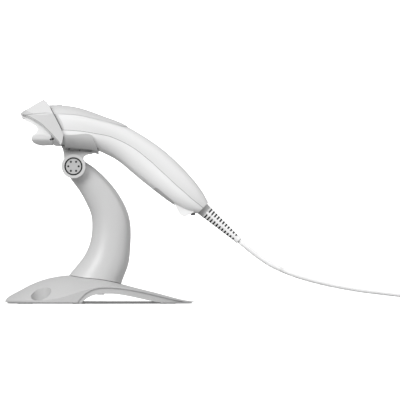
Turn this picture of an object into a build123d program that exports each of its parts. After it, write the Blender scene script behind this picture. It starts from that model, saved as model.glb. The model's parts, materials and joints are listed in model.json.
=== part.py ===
from build123d import *
import os
from math import pi, sin, cos, tan, radians, degrees, hypot, atan2

# Corded hand scanner resting in a tilting cradle on a weighted stand.
# Millimetres. X runs from the nose (-X) to the cord (+X), Y is the width,
# Z is up and the origin is the middle of the stand's footprint on the table.

os.makedirs("parts", exist_ok=True)

# ---------------------------------------------------------------- driving dimensions
wall = 2.0                    # scanner housing wall
insert_t = 1.3                # thickness of the trim laid into the top housing
fit_gap = 0.4                 # cradle to scanner, all round
cradle_t = 3.0                # cradle wall
pivot_x, pivot_z = -25.5, 133.1
barrel_r = 11.7
barrel_w = 13.0               # half width of the pivot barrel
washer_t = 0.5
ear_in = barrel_w + washer_t
ear_out = 21.0
web_out = 17.0                # half width of the web between tray and ears
ear_r = 10.5
bolt_r = 3.0
foot_h = 0.6
plate_t = 1.2
floor_of_cover = foot_h + plate_t
cover_t = 2.4
boot_len = 48.0
boot_ang = 41.2               # boot axis, degrees below level
cord_r = 2.5
cord_z = 2.6
mount_hole_x, mount_hole_y = -56.4, 48.0
mount_hole_r = 2.4

# ---------------------------------------------------------------- scanner sections
# top, bottom and seam points on the centre plane, then half width
SEC = [
    ((-52.4, 191.2), (-45.6, 153.6), (-48.1, 168.0), 33.5),
    ((-41.7, 192.2), (-35.4, 152.9), (-37.8, 168.2), 33.0),
    ((-29.1, 191.2), (-25.2, 151.9), (-26.8, 167.9), 31.6),
    ((-15.5, 188.2), (-14.1, 150.4), (-14.6, 166.5), 29.0),
    ((0.0, 182.7), (-3.4, 148.8), (-1.8, 164.1), 25.4),
    ((14.5, 177.4), (5.8, 144.9), (10.3, 161.6), 22.2),
    ((29.1, 170.3), (15.5, 139.8), (22.8, 156.3), 20.0),
    ((43.6, 161.6), (27.2, 130.6), (36.6, 148.2), 19.0),
    ((58.2, 151.6), (39.8, 119.9), (49.9, 137.3), 18.8),
    ((72.8, 139.0), (53.4, 109.2), (63.3, 124.5), 18.6),
    ((85.4, 126.2), (66.0, 99.7), (75.8, 113.1), 17.8),
    ((95.1, 114.6), (76.1, 93.4), (85.6, 104.0), 16.2),
    ((101.8, 104.4), (85.8, 89.3), (93.8, 96.8), 13.6),
    ((105.1, 97.8), (94.4, 87.3), (100.1, 92.9), 10.6),
]


def section_plane(sec):
    t, b = sec[0], sec[1]
    h = hypot(t[0] - b[0], t[1] - b[1])
    dx, dz = (t[0] - b[0]) / h, (t[1] - b[1]) / h
    return Plane(origin=(b[0], 0, b[1]), x_dir=(0, 1, 0), z_dir=(dz, 0, -dx))


def section_points(sec, grow, steps=7, n=2.5):
    # closed outline in the section plane, Y across and height along the plane,
    # widest at the seam, grown outward by "grow"
    t, b, s, w = sec
    h = hypot(t[0] - b[0], t[1] - b[1])
    hs = ((s[0] - b[0]) * (t[0] - b[0]) + (s[1] - b[1]) * (t[1] - b[1])) / h
    up, dn, ww = h - hs + grow, hs + grow, w + grow
    pts = []
    total = 4 * steps
    for k in range(total):
        a = 2 * pi * k / total
        c, d = cos(a), sin(a)
        x = ww * (1 if c >= 0 else -1) * abs(c) ** (2 / n)
        y = (up if d >= 0 else dn) * (1 if d >= 0 else -1) * abs(d) ** (2 / n)
        pts.append((x, hs + y))
    return pts


def even_points(pts, count=11):
    # respace an open outline evenly so that the lofted surface stays smooth
    lens = [0.0]
    for p, q in zip(pts, pts[1:]):
        lens.append(lens[-1] + hypot(q[0] - p[0], q[1] - p[1]))
    out, j = [], 0
    for k in range(count):
        want = lens[-1] * k / (count - 1)
        while j < len(pts) - 2 and lens[j + 1] < want:
            j += 1
        f = (want - lens[j]) / (lens[j + 1] - lens[j])
        out.append((pts[j][0] + f * (pts[j + 1][0] - pts[j][0]),
                    pts[j][1] + f * (pts[j + 1][1] - pts[j][1])))
    return out


def moved(sec, along):
    # the same section, shifted along the grip
    t, b, m, w = sec
    h = hypot(t[0] - b[0], t[1] - b[1])
    ux, uz = (t[1] - b[1]) / h * along, -(t[0] - b[0]) / h * along
    return ((t[0] + ux, t[1] + uz), (b[0] + ux, b[1] + uz), (m[0] + ux, m[1] + uz), w)


HOLLOW_SEC = [moved(SEC[0], -5.0)] + SEC[1:-1] + [moved(SEC[-1], -3.0)]

def grip_form(secs, grow):
    # loft through the sections, each made of a right and a left half
    with BuildPart() as made:
        for sec in secs:
            ring = section_points(sec, grow, 20)
            right = even_points(ring[60:] + ring[:21])
            left = even_points(ring[20:61])
            with BuildSketch(section_plane(sec)):
                with BuildLine():
                    Spline(*right, tangents=((1, 0), (-1, 0)))
                    Spline(*left, tangents=((-1, 0), (1, 0)))
                make_face()
        loft()
    return made


body_form = grip_form(SEC, 0.0)                    # outside of both housings together
body_hollow = grip_form(HOLLOW_SEC, -wall)         # their hollow
mid_wall = grip_form(HOLLOW_SEC, -wall / 2)        # middle of the wall, where the inner pillars end
trim_bed = grip_form(HOLLOW_SEC[:8], -insert_t)    # form that the top trim sits on
trim_crown = grip_form(SEC[:8], 0.4)               # outside of the top trim
label_bed = grip_form(SEC[7:13], -0.7)

SEAM = [(-90, 168.0), (-48.1, 168.0), (-37.8, 168.2), (-24.3, 167.6), (-14.6, 166.5), (-4.9, 164.9),
        (7.4, 162.6), (14.8, 160.0), (22.2, 156.7), (29.7, 152.6), (37.2, 147.7), (44.5, 141.8),
        (52.0, 135.5), (59.4, 128.4), (66.8, 121.7), (74.2, 114.7), (81.7, 108.3), (89.0, 101.7),
        (100.1, 92.9), (115, 81.0)]

with BuildPart() as above_seam:
    with BuildSketch(Plane.XZ):
        with BuildLine():
            Spline(*SEAM)
            Polyline(SEAM[-1], (140, 110), (140, 240), (-90, 240), SEAM[0])
        make_face()
    extrude(amount=60, both=True)

# nose: block that carries the scan window, side outline then plan outline
NOSE = [(-75.6, 181.4), (-75.9, 179.8), (-72.8, 177.6), (-67.9, 175.4), (-62.1, 172.1), (-59.7, 168.8),
        (-61.6, 165.8), (-65.0, 163.3), (-66.0, 161.1), (-66.0, 158.7), (-64.5, 156.1), (-61.1, 154.2),
        (-56.3, 153.2), (-50.4, 153.4), (-45.6, 153.6), (-52.08, 189.4), (-56.0, 189.4),
        (-62.0, 187.6), (-69.0, 184.6)]
with BuildPart() as nose_form:
    with BuildSketch(Plane.XZ):
        with BuildLine():
            Polyline(*NOSE, close=True)
        make_face()
    extrude(amount=36, both=True)
    with BuildSketch(Plane.XY.offset(140)):
        with BuildLine():
            Spline((-45, 33.5), (-58, 34.6), (-68, 32.6), (-74, 26.0), (-76.4, 12.0), (-76.6, 0),
                   (-76.4, -12.0), (-74, -26.0), (-68, -32.6), (-58, -34.6), (-45, -33.5))
            Line((-45, -33.5), (-45, 33.5))
        make_face()
    extrude(amount=70, mode=Mode.INTERSECT)
    # across: rounded chin below, and corners above that stay under the hood
    with BuildSketch(Plane.YZ.offset(-100)):
        with BuildLine():
            Polyline((-35.2, 168.0), (-35.2, 181.6), (-33.6, 183.0), (-21.5, 193.2), (21.5, 193.2), (33.6, 183.0),
                     (35.2, 181.6), (35.2, 168.0))
            Spline((35.2, 168.0), (34.75, 163.8), (33.2, 159.9), (30.6, 157.3), (27.0, 155.4), (22.0, 153.9),
                   (15.0, 152.9), (0, 152.6), (-15.0, 152.9), (-22.0, 153.9), (-27.0, 155.4), (-30.6, 157.3),
                   (-33.2, 159.9), (-34.75, 163.8), (-35.2, 168.0), tangents=((0, -1), (0, 1)))
        make_face()
    extrude(amount=100, mode=Mode.INTERSECT)

HOOD_TOP = [(-77.1, 184.2), (-72.8, 187.3), (-67.9, 189.9), (-63.1, 193.0), (-58.2, 195.8), (-54.3, 197.7),
            (-51.6, 195.4), (-48.5, 191.0), (-46.6, 187.0), (-44.1, 182.7), (-41.7, 178.0), (-38.8, 172.3),
            (-36.4, 167.2), (-34.9, 163.2)]
MOUTH = [(-37.6, 153.8), (-41.5, 158.3), (-45.2, 162.4), (-49.0, 166.3), (-52.7, 170.0), (-56.4, 173.4),
         (-62.6, 177.5), (-68.8, 180.6), (-73.7, 182.2), (-76.4, 182.3)]
with BuildPart() as hood_form:
    with BuildSketch(Plane.XZ):
        with BuildLine():
            Polyline(*HOOD_TOP)
            Polyline(HOOD_TOP[-1], (-36.2, 157.0), MOUTH[0])
            Spline(*MOUTH)
            Line(MOUTH[-1], HOOD_TOP[0])
        make_face()
    extrude(amount=42, both=True)
    # across: upright flanks, then the top facet leaning in to the crest
    with BuildSketch(Plane.YZ.offset(-100)):
        with BuildLine():
            Polyline((-39, 140), (-39, 182.6), (-37.6, 184.8), (-24, 196.2), (-14, 198.6), (0, 199.2),
                     (14, 198.6), (24, 196.2), (37.6, 184.8), (39, 182.6), (39, 140), close=True)
        make_face()
    extrude(amount=100, mode=Mode.INTERSECT)
    with BuildSketch(Plane.XY.offset(140)):
        with BuildLine():
            Spline((-30, 35.2), (-40, 37.0), (-52, 38.8), (-63, 38.4), (-71, 34.6), (-75.6, 26.0), (-77.4, 12.0),
                   (-77.6, 0), (-77.4, -12.0), (-75.6, -26.0), (-71, -34.6), (-63, -38.4), (-52, -38.8),
                   (-40, -37.0), (-30, -35.2))
            Line((-30, -35.2), (-30, 35.2))
        make_face()
    extrude(amount=80, mode=Mode.INTERSECT)

# trim outline on the top housing: collar behind the hood, then a long point
TRIM = [(-60, 200), (-52, 200), (-48.4, 190.6), (-41.0, 183.9), (-34.7, 183.8), (-25.4, 183.3), (-16.2, 181.9),
        (-6.9, 179.6), (9.7, 175.4), (21.3, 172.3), (26.6, 171.4), (27.4, 174.0), (26.5, 180.0), (0, 205)]
COLLAR = [(-50.5, 195), (-41.0, 184.6), (-39.1, 180.1), (-37.3, 177.6), (-36.0, 175.0), (-34.9, 171.3),
          (-34.7, 168.2), (-34.7, 166.8), (-38.6, 168.4), (-52, 195)]
with BuildPart() as trim_region:
    with BuildSketch(Plane.XZ):
        with BuildLine():
            Polyline(*TRIM, close=True)
        make_face()
        with BuildLine():
            Polyline(*COLLAR, close=True)
        make_face()
    extrude(amount=50, both=True)

# label pocket on the underside of the grip
with BuildPart() as label_region:
    with BuildSketch(Plane.XZ):
        with BuildLine():
            Polyline((54.2, 112.6), (56.4, 111.6), (73.0, 97.4), (72.4, 94.0), (60, 96), (48, 110), close=True)
        make_face()
    extrude(amount=16, both=True)
# joint screws of the two housings: (x, z on the seam, y, lean of the grip at that place)
HEAD_SCREWS = [(-30.0, 22.0), (-30.0, -22.0)]
GRIP_SCREW = Plane(origin=(69.0, 0, 119.8), x_dir=(0, 1, 0), z_dir=(0.66, 0, 0.751))
BOARD = Plane(origin=(39.5, 0, 139.4), x_dir=(0, 1, 0), z_dir=(0.545, 0, 0.838))
BOOT = Plane(origin=(98.6, 0, 92.9), x_dir=(0, 1, 0),
             z_dir=(cos(radians(boot_ang)), 0, -sin(radians(boot_ang))))
HEEL_PLUG = (90.2, 0.0)
BUTTON = (-39.4, 0.0)

# mouth of the grip that holds the boot
with BuildPart() as boot_socket:
    with BuildSketch(BOOT):
        Circle(6.75)
    extrude(amount=12)
    with BuildSketch(BOOT.offset(-8)):
        Circle(4.25)
    extrude(amount=9)
    with BuildSketch(BOOT.offset(-4.7)):
        Circle(5.25)
    extrude(amount=2.4)

# ---------------------------------------------------------------- upper housing
with BuildPart() as upper_pillars:
    for (sx, sy) in HEAD_SCREWS:
        with BuildSketch(Plane.XY.offset(167.0)):
            with Locations((sx, sy)):
                Circle(2.6)
        extrude(amount=25)
    with BuildSketch(GRIP_SCREW.offset(-0.4)):
        Circle(3.0)
    extrude(amount=30)
    add(mid_wall.part, mode=Mode.INTERSECT)
    for (sx, sy) in HEAD_SCREWS:
        with BuildSketch(Plane.XY.offset(160)):
            with Locations((sx, sy)):
                Circle(1.2)
        extrude(amount=19, mode=Mode.SUBTRACT)
    with BuildSketch(GRIP_SCREW.offset(-0.6)):
        Circle(1.2)
    extrude(amount=11.6, mode=Mode.SUBTRACT)

with BuildPart() as upper_housing:
    add(body_form.part)
    add(body_hollow.part, mode=Mode.SUBTRACT)
    add(above_seam.part, mode=Mode.INTERSECT)
    add(upper_pillars.part)
with BuildPart() as trim_cut:
    add(trim_crown.part)
    add(trim_bed.part, mode=Mode.SUBTRACT)
    add(trim_region.part, mode=Mode.INTERSECT)
    add(above_seam.part, mode=Mode.INTERSECT)

with BuildPart() as button_hole:
    with BuildSketch(Plane.XY.offset(180)):
        with Locations(BUTTON):
            SlotOverall(11.4, 5.4, rotation=90)
    extrude(amount=20)

with BuildPart() as light_hole:
    with BuildSketch(Plane.XY.offset(180)):
        with Locations((-28.0, 0)):
            SlotOverall(9.0, 3.0, rotation=90)
    extrude(amount=20)

with BuildPart() as upper_final:
    add(upper_housing.part)
    add(trim_cut.part, mode=Mode.SUBTRACT)
    add(button_hole.part, mode=Mode.SUBTRACT)
    add(light_hole.part, mode=Mode.SUBTRACT)
    add(boot_socket.part, mode=Mode.SUBTRACT)
upper_final.part.label = "upper_housing"

with BuildPart() as top_trim:
    add(trim_cut.part)
    add(button_hole.part, mode=Mode.SUBTRACT)
    add(light_hole.part, mode=Mode.SUBTRACT)
top_trim.part.label = "top_trim"

# ---------------------------------------------------------------- lower housing
HEEL = [(71.5, 97.5), (73.6, 94.2), (75.2, 90.3), (77.6, 86.4), (80.5, 84.4), (83.4, 84.5), (86.3, 86.1),
        (91.0, 88.6), (90.0, 93.0), (78, 101)]
with BuildPart() as heel_form:
    with BuildSketch(Plane.XZ):
        with BuildLine():
            Polyline(*HEEL, close=True)
        make_face()
    extrude(amount=8.5, both=True)
    fillet(heel_form.edges().filter_by(Axis.Y), 0.7)

with BuildPart() as lower_pillars:
    for (sx, sy) in HEAD_SCREWS:
        with BuildSketch(Plane.XY.offset(150.0)):
            with Locations((sx, sy)):
                Circle(3.8)
        extrude(amount=17.0)
    with BuildSketch(GRIP_SCREW.offset(-18)):
        Circle(3.8)
    extrude(amount=17.6)
    # ribs that the main board lies on
    with BuildSketch(BOARD):
        with Locations((0, 30), (0, -1)):
            Rectangle(20, 2)
    extrude(amount=-16)
    add(mid_wall.part, mode=Mode.INTERSECT)

with BuildPart() as lower_housing:
    add(body_form.part)
    add(heel_form.part)
    add(body_hollow.part, mode=Mode.SUBTRACT)
    add(above_seam.part, mode=Mode.SUBTRACT)
    add(lower_pillars.part)
    for (sx, sy) in HEAD_SCREWS:
        with BuildSketch(Plane.XY.offset(145)):
            with Locations((sx, sy)):
                Circle(2.7)
        extrude(amount=17.0, mode=Mode.SUBTRACT)
        with BuildSketch(Plane.XY.offset(160)):
            with Locations((sx, sy)):
                Circle(1.5)
        extrude(amount=10, mode=Mode.SUBTRACT)
    with BuildSketch(GRIP_SCREW.offset(-32.0)):
        Circle(2.7)
    extrude(amount=26.0, mode=Mode.SUBTRACT)
    with BuildSketch(GRIP_SCREW.offset(-8.0)):
        Circle(1.5)
    extrude(amount=12, mode=Mode.SUBTRACT)
with BuildPart() as label_cut:
    add(body_form.part)
    add(label_bed.part, mode=Mode.SUBTRACT)
    add(label_region.part, mode=Mode.INTERSECT)
with BuildPart() as lower_final:
    add(lower_housing.part)
    add(label_cut.part, mode=Mode.SUBTRACT)
    add(boot_socket.part, mode=Mode.SUBTRACT)
    with BuildSketch(Plane.XY.offset(80)):
        with Locations(HEEL_PLUG):
            Circle(2.25)
    extrude(amount=12, mode=Mode.SUBTRACT)
lower_final.part.label = "lower_housing"
with BuildPart() as grip_label_pad:
    add(label_cut.part)
    add(heel_form.part, mode=Mode.SUBTRACT)
grip_label_pad.part.label = "grip_label_pad"

# ---------------------------------------------------------------- button and status light
with BuildPart() as scan_button:
    with BuildSketch(Plane.XY.offset(188.6)):
        with Locations(BUTTON):
            SlotOverall(11.0, 5.0, rotation=90)
    extrude(amount=4.5)
    fillet(scan_button.edges().group_by(Axis.Z)[-1], 0.6)
    # skirt that keeps the button in
    with BuildSketch(Plane.XY.offset(187.8)):
        with Locations(BUTTON):
            SlotOverall(14.0, 7.6, rotation=90)
    extrude(amount=1.2)
    with BuildSketch(Plane.XY.offset(185.8)):
        with Locations(BUTTON):
            Circle(1.3)
    extrude(amount=2.0)
scan_button.part.label = "scan_button"

with BuildPart() as status_light:
    with BuildSketch(Plane.XY.offset(186.6)):
        with Locations((-28.0, 0)):
            SlotOverall(8.8, 2.8, rotation=90)
    extrude(amount=4.7)
status_light.part.label = "status_light"

with BuildPart() as switch_board:
    with BuildSketch(Plane.XY.offset(180.0)):
        with Locations((-34.0, 0)):
            RectangleRounded(24, 34, 1.5)
    extrude(amount=1.2)
    with BuildSketch(Plane.XY.offset(181.2)):
        with Locations(BUTTON):
            Rectangle(6, 6)
    extrude(amount=3.0)
    with BuildSketch(Plane.XY.offset(184.2)):
        with Locations(BUTTON):
            Circle(1.4)
    extrude(amount=0.9)
    with BuildSketch(Plane.XY.offset(181.2)):
        with Locations((-28.0, -2.6), (-28.0, 2.6)):
            Rectangle(2.0, 3.2)
    extrude(amount=5.0)
switch_board.part.label = "switch_board"

# ---------------------------------------------------------------- nose: window block, pane, gasket, hood
with BuildPart() as window_block:
    add(nose_form.part)
    # throat that the beam leaves through
    with BuildSketch(Plane.XZ):
        with BuildLine():
            Polyline((-90, 179.2), (-77, 178.0), (-72, 179.9), (-53.2, 185.6), (-53.2, 158.4), (-63.0, 160.2),
                     (-67.0, 162.6), (-90, 166.0), close=True)
        make_face()
    extrude(amount=28.5, both=True, mode=Mode.SUBTRACT)
    # opening behind the pane
    with BuildSketch(Plane.YZ.offset(-60)):
        with Locations((0, 171.2)):
            RectangleRounded(52, 19, 2.5)
    extrude(amount=20, mode=Mode.SUBTRACT)
window_block.part.label = "window_block"

with BuildPart() as scan_window:
    with BuildSketch(Plane.YZ.offset(-54.6)):
        with Locations((0, 171.2)):
            RectangleRounded(56.0, 22.6, 1.5)
    extrude(amount=1.4)
scan_window.part.label = "scan_window"

with BuildPart() as window_gasket:
    with BuildSketch(Plane.YZ.offset(-55.8)):
        with Locations((0, 171.2)):
            RectangleRounded(56.4, 23.0, 1.5)
            RectangleRounded(51.0, 18.0, 2.5, mode=Mode.SUBTRACT)
    extrude(amount=1.2)
window_gasket.part.label = "window_gasket"

hood_bed = grip_form(SEC[:6], 0.85)
with BuildPart() as nose_hood:
    add(hood_form.part)
    add(hood_bed.part, mode=Mode.SUBTRACT)
    add(nose_form.part, mode=Mode.SUBTRACT)
nose_hood.part.label = "nose_hood"

# ---------------------------------------------------------------- inside the head
with BuildPart() as optical_frame:
    with BuildSketch(Plane.XY.offset(158.0)):
        with Locations((-27.0, 0)):
            RectangleRounded(34, 34, 2)
    extrude(amount=2.0)
    # cheek plates
    with BuildSketch(Plane.XY.offset(160.0)):
        with Locations((-27.0, 16.0), (-27.0, -16.0)):
            Rectangle(34, 2.0)
    extrude(amount=20.0)
    # feet on the floor of the head
    with BuildSketch(Plane.XY.offset(148)):
        with Locations((-39, 9), (-39, -9), (-15, 9), (-15, -9)):
            Circle(2.0)
    extrude(amount=10.0)
    # seat of the laser and stand of the mirror
    with BuildSketch(Plane.XY.offset(160.0)):
        with Locations((-14.0, -9.0)):
            Rectangle(7, 9)
    extrude(amount=2.0)
    with BuildSketch(Plane.XY.offset(156)):
        with Locations((-24.0, 0)):
            Circle(1.5)
    extrude(amount=8, mode=Mode.SUBTRACT)
    add(body_hollow.part, mode=Mode.INTERSECT)
optical_frame.part.label = "optical_frame"

with BuildPart() as laser_module:
    with BuildSketch(Plane.YZ.offset(-20.0)):
        with Locations((-9.0, 165.0)):
            Circle(3.0)
            Circle(0.8, mode=Mode.SUBTRACT)
    extrude(amount=10.0)
    with BuildSketch(Plane.YZ.offset(-11.0)):
        with Locations((-9.0, 165.0)):
            Circle(3.0)
    extrude(amount=3.0)
laser_module.part.label = "laser_module"

with BuildPart() as mirror_motor:
    with BuildSketch(Plane.XY.offset(160.0)):
        with Locations((-24.0, 12.0)):
            Rectangle(8, 5)
    extrude(amount=7.0)
mirror_motor.part.label = "mirror_motor"

with BuildPart() as mirror_shaft:
    with BuildSketch(Plane.XY.offset(156.4)):
        with Locations((-24.0, 0)):
            Circle(1.45)
    extrude(amount=15.6)
    with BuildSketch(Plane.XY.offset(160.3)):
        with Locations((-24.0, 0)):
            Circle(2.6)
    extrude(amount=1.2)
mirror_shaft.part.label = "mirror_shaft"

with BuildPart() as scan_mirror:
    with BuildSketch(Plane.XY.offset(161.6)):
        with Locations((-24.0, 0)):
            Rectangle(4.6, 4.6)
            Circle(1.45, mode=Mode.SUBTRACT)
    extrude(amount=10.0)
    with BuildSketch(Plane.XY.offset(161.6)):
        with Locations((-26.8, 0)):
            Rectangle(1.0, 14.0)
    extrude(amount=10.0)
scan_mirror.part.label = "scan_mirror"

with BuildPart() as photodiode_board:
    with BuildSketch(Plane.YZ.offset(-13.0)):
        with Locations((3.0, 166.5)):
            Rectangle(11, 13)
    extrude(amount=1.2)
    with BuildSketch(Plane.YZ.offset(-14.6)):
        with Locations((3.0, 168.0)):
            Circle(2.2)
    extrude(amount=1.6)
photodiode_board.part.label = "photodiode_board"

# main board lies along the grip
with BuildPart() as main_board:
    with BuildSketch(BOARD):
        with Locations((0, 8.5)):
            RectangleRounded(25, 61, 1.5)
    extrude(amount=1.6)
    with BuildSketch(BOARD.offset(1.6)):
        with Locations((0, 20)):
            Rectangle(12, 12)
        with Locations((6, -4), (-6, -4)):
            Rectangle(6, 9)
        with Locations((-5, -15)):
            Rectangle(8, 6)
    extrude(amount=1.8)
main_board.part.label = "main_board"

beeper_plane = BOARD.offset(-5.4)
with BuildPart() as beeper:
    with BuildSketch(beeper_plane):
        with Locations((0, -14)):
            Circle(6.0)
    extrude(amount=5.4)
    with BuildSketch(beeper_plane):
        with Locations((0, -14)):
            Circle(1.2)
    extrude(amount=1.0, mode=Mode.SUBTRACT)
beeper.part.label = "beeper"

# ---------------------------------------------------------------- housing screws and heel plug
with BuildPart() as housing_screws:
    for (sx, sy) in HEAD_SCREWS:
        with BuildSketch(Plane.XY.offset(159.6)):
            with Locations((sx, sy)):
                Circle(2.5)
        extrude(amount=2.4)
        with BuildSketch(Plane.XY.offset(162.0)):
            with Locations((sx, sy)):
                Circle(1.2)
        extrude(amount=15)
    with BuildSketch(GRIP_SCREW.offset(-8.4)):
        Circle(2.5)
    extrude(amount=2.4)
    with BuildSketch(GRIP_SCREW.offset(-6.0)):
        Circle(1.2)
    extrude(amount=14)
housing_screws.part.label = "housing_screws"

# rubber plug in the hole that frees the lead's catch
with BuildPart() as heel_plug:
    with BuildSketch(Plane.XY.offset(85.7)):
        with Locations(HEEL_PLUG):
            Circle(2.2)
    extrude(amount=4.2)
heel_plug.part.label = "heel_plug"

# ---------------------------------------------------------------- cable boot, jack and cord
def boot_radius(a):
    # straight-sided taper
    return 6.7 + (3.2 - 6.7) * a / boot_len


with BuildPart() as boot_slots:
    for k in range(11):
        a = 7.6 + 3.42 * k
        with BuildSketch(BOOT.offset(a)):
            Circle(9)
            Circle(max(2.55, boot_radius(a) - 2.0), mode=Mode.SUBTRACT)
        extrude(amount=1.55)
    for turn in (0, 90):
        with BuildSketch(BOOT.offset(6.0)):
            Rectangle(24, 2.6, rotation=turn)
        extrude(amount=40, mode=Mode.SUBTRACT)

with BuildPart() as cable_boot:
    with BuildSketch(BOOT):
        Circle(6.7)
    with BuildSketch(BOOT.offset(boot_len)):
        Circle(3.2)
    loft()
    with BuildSketch(BOOT.offset(boot_len - 2.6)):
        Circle(3.7)
    extrude(amount=2.6)
    add(boot_slots.part, mode=Mode.SUBTRACT)
    # neck and flange trapped inside the housing
    with BuildSketch(BOOT.offset(-2.4)):
        Circle(4.2)
    extrude(amount=2.4)
    with BuildSketch(BOOT.offset(-4.6)):
        Circle(5.2)
    extrude(amount=2.2)
    with BuildSketch(BOOT.offset(-4.6)):
        Circle(cord_r)
    extrude(amount=boot_len + 4.6 - 3.0, mode=Mode.SUBTRACT)
cable_boot.part.label = "cable_boot"

# the lead's moulded plug in its socket, inside the grip
with BuildPart() as cord_jack:
    with BuildSketch(BOOT.offset(-26.0)):
        Rectangle(13.0, 11.0)
        with Locations((0, 1.0)):
            Rectangle(9.8, 7.0, mode=Mode.SUBTRACT)
    extrude(amount=12.0)
    with BuildSketch(BOOT.offset(-27.2)):
        Rectangle(13.0, 11.0)
    extrude(amount=1.2)
cord_jack.part.label = "cord_jack"
with BuildPart() as jack_plug:
    with BuildSketch(BOOT.offset(-25.6)):
        with Locations((0, 1.0)):
            Rectangle(9.6, 6.8)
    extrude(amount=14.0)
    with BuildSketch(BOOT.offset(-11.6)):
        with Locations((0, 0)):
            Circle(cord_r)
    extrude(amount=11.6 + boot_len - 3.0)
jack_plug.part.label = "jack_plug"

# route of the lead: boot, down to the table, then round to the coil
boot_end = BOOT.origin + BOOT.z_dir * boot_len
ROUTE = [(boot_end.X, 0, boot_end.Z), (153.8, 0, 44.6), (179, 0, 31.0), (210, 0, 21.4), (247, 0, 14.0),
         (284, 0, 9.6), (313, 0, 6.4), (336, 11, cord_z), (345, 33, cord_z), (345, 54, cord_z)]


def corner_radii(route, share=0.45):
    out = []
    for p, q, r in zip(route, route[1:], route[2:]):
        u, v = Vector(*q) - Vector(*p), Vector(*r) - Vector(*q)
        out.append(share * min(u.length, v.length) / tan(radians(u.get_angle(v)) / 2))
    return out


radii = corner_radii(ROUTE)
print("cord corner radii", [round(r, 1) for r in radii])
with BuildPart() as cord_tube:
    with BuildLine() as cord_line:
        FilletPolyline(*ROUTE, radius=radii)
    with BuildSketch(Plane(origin=ROUTE[0], x_dir=(0, 1, 0), z_dir=(Vector(*ROUTE[1]) - Vector(*ROUTE[0])).normalized())):
        Circle(cord_r)
    sweep()
cord_tube.part.label = "cord_tube"
tube_len = sum(e.length for e in cord_line.edges())
print("cord tube length", round(tube_len, 2), "volume", round(cord_tube.part.volume, 1), "section x length",
      round(pi * cord_r ** 2 * tube_len, 1), "boot end", boot_end)

# the put-away length: one ring of wound turns with the two ends leaving it
coil_x, coil_y = 379.0, 94.0
coil_in, coil_out, coil_h = 19.0, 37.0, 14.2
with BuildPart() as cord_coil:
    with BuildSketch(Plane.XY.offset(0.1)):
        with Locations((coil_x, coil_y)):
            Circle(coil_out)
            Circle(coil_in, mode=Mode.SUBTRACT)
    extrude(amount=coil_h)
    fillet(cord_coil.edges().filter_by(GeomType.CIRCLE), 2.4)
    with BuildSketch(Plane(origin=(345, 54, cord_z), x_dir=(1, 0, 0), z_dir=(0, 1, 0))):
        Circle(cord_r)
    extrude(amount=40)
    with BuildSketch(Plane(origin=(413, 94, cord_z), x_dir=(1, 0, 0), z_dir=(0, -1, 0))):
        Circle(cord_r)
    extrude(amount=22)
    # room for the tie
    with BuildSketch(Plane(origin=(coil_x, coil_y + 28, 0), x_dir=(0, 1, 0), z_dir=(1, 0, 0))):
        with Locations((0, 7.2)):
            Rectangle(24, 24)
            RectangleRounded(15.6, 12.0, 2, mode=Mode.SUBTRACT)
    extrude(amount=4.5, both=True, mode=Mode.SUBTRACT)
cord_coil.part.label = "cord_coil"
with BuildPart() as coil_tie:
    with BuildSketch(Plane(origin=(coil_x, coil_y + 28, 0), x_dir=(0, 1, 0), z_dir=(1, 0, 0))):
        with Locations((0, 7.2)):
            RectangleRounded(17.6, 14.0, 2.6)
            RectangleRounded(15.6, 12.0, 2, mode=Mode.SUBTRACT)
    extrude(amount=4.4, both=True)
coil_tie.part.label = "coil_tie"

# computer plug
plug_z = 4.6
PLUG = Plane(origin=(413, 72, plug_z), x_dir=(1, 0, 0), z_dir=(0, -1, 0))
with BuildPart() as plug_grip:
    with BuildSketch(Plane(origin=(413, 72, cord_z), x_dir=(1, 0, 0), z_dir=(0, -1, 0))):
        Circle(cord_r)
    with BuildSketch(Plane(origin=(413, 60, plug_z), x_dir=(1, 0, 0), z_dir=(0, -1, 0))):
        RectangleRounded(9.0, 7.0, 3.2)
    loft()
    with BuildSketch(PLUG.offset(12)):
        RectangleRounded(15.6, 9.0, 2.2)
    extrude(amount=26)
plug_grip.part.label = "plug_grip"
with BuildPart() as plug_shell:
    with BuildSketch(PLUG.offset(38)):
        Rectangle(12.0, 4.5)
        Rectangle(11.4, 3.9, mode=Mode.SUBTRACT)
    extrude(amount=12.4)
    with BuildSketch(PLUG.offset(38)):
        Rectangle(12.0, 4.5)
    extrude(amount=1.0)
plug_shell.part.label = "plug_shell"
with BuildPart() as plug_tongue:
    with BuildSketch(PLUG.offset(39.0)):
        with Locations((0, 0.95)):
            Rectangle(11.2, 1.9)
    extrude(amount=11.0)
plug_tongue.part.label = "plug_tongue"

# ---------------------------------------------------------------- stand: base
# x, half width, rim height, crown height
BASE = [(-91.6, 20.0, 2.9, 2.95), (-86.0, 35.0, 3.2, 8.4), (-76.0, 47.0, 3.4, 13.8), (-62.0, 56.0, 3.6, 20.6),
        (-46.0, 60.0, 4.6, 25.4), (-30.0, 61.0, 8.4, 27.4), (-14.0, 61.0, 13.4, 26.4), (4.0, 60.0, 17.2, 23.6),
        (24.0, 57.0, 16.2, 18.2), (44.0, 51.0, 11.9, 13.0), (62.0, 43.6, 7.6, 8.4), (78.0, 34.0, 3.6, 4.2),
        (91.2, 21.0, 2.1, 2.2)]


def dome(sections, low):
    # loft of upright sections: domed top, upright rim
    with BuildPart() as made:
        for (x, w, e, h) in sections:
            r = h - e
            with BuildSketch(Plane(origin=(x, 0, 0), x_dir=(0, 1, 0), z_dir=(1, 0, 0))):
                with BuildLine():
                    Spline((-w, e), (-0.8 * w, e + r * 0.40), (-0.5 * w, e + r * 0.78), (-0.2 * w, e + r * 0.965),
                           (0, h), (0.2 * w, e + r * 0.965), (0.5 * w, e + r * 0.78), (0.8 * w, e + r * 0.40), (w, e))
                    Polyline((w, e), (w, low), (-w, low), (-w, e))
                make_face()
        loft()
    return made


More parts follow.
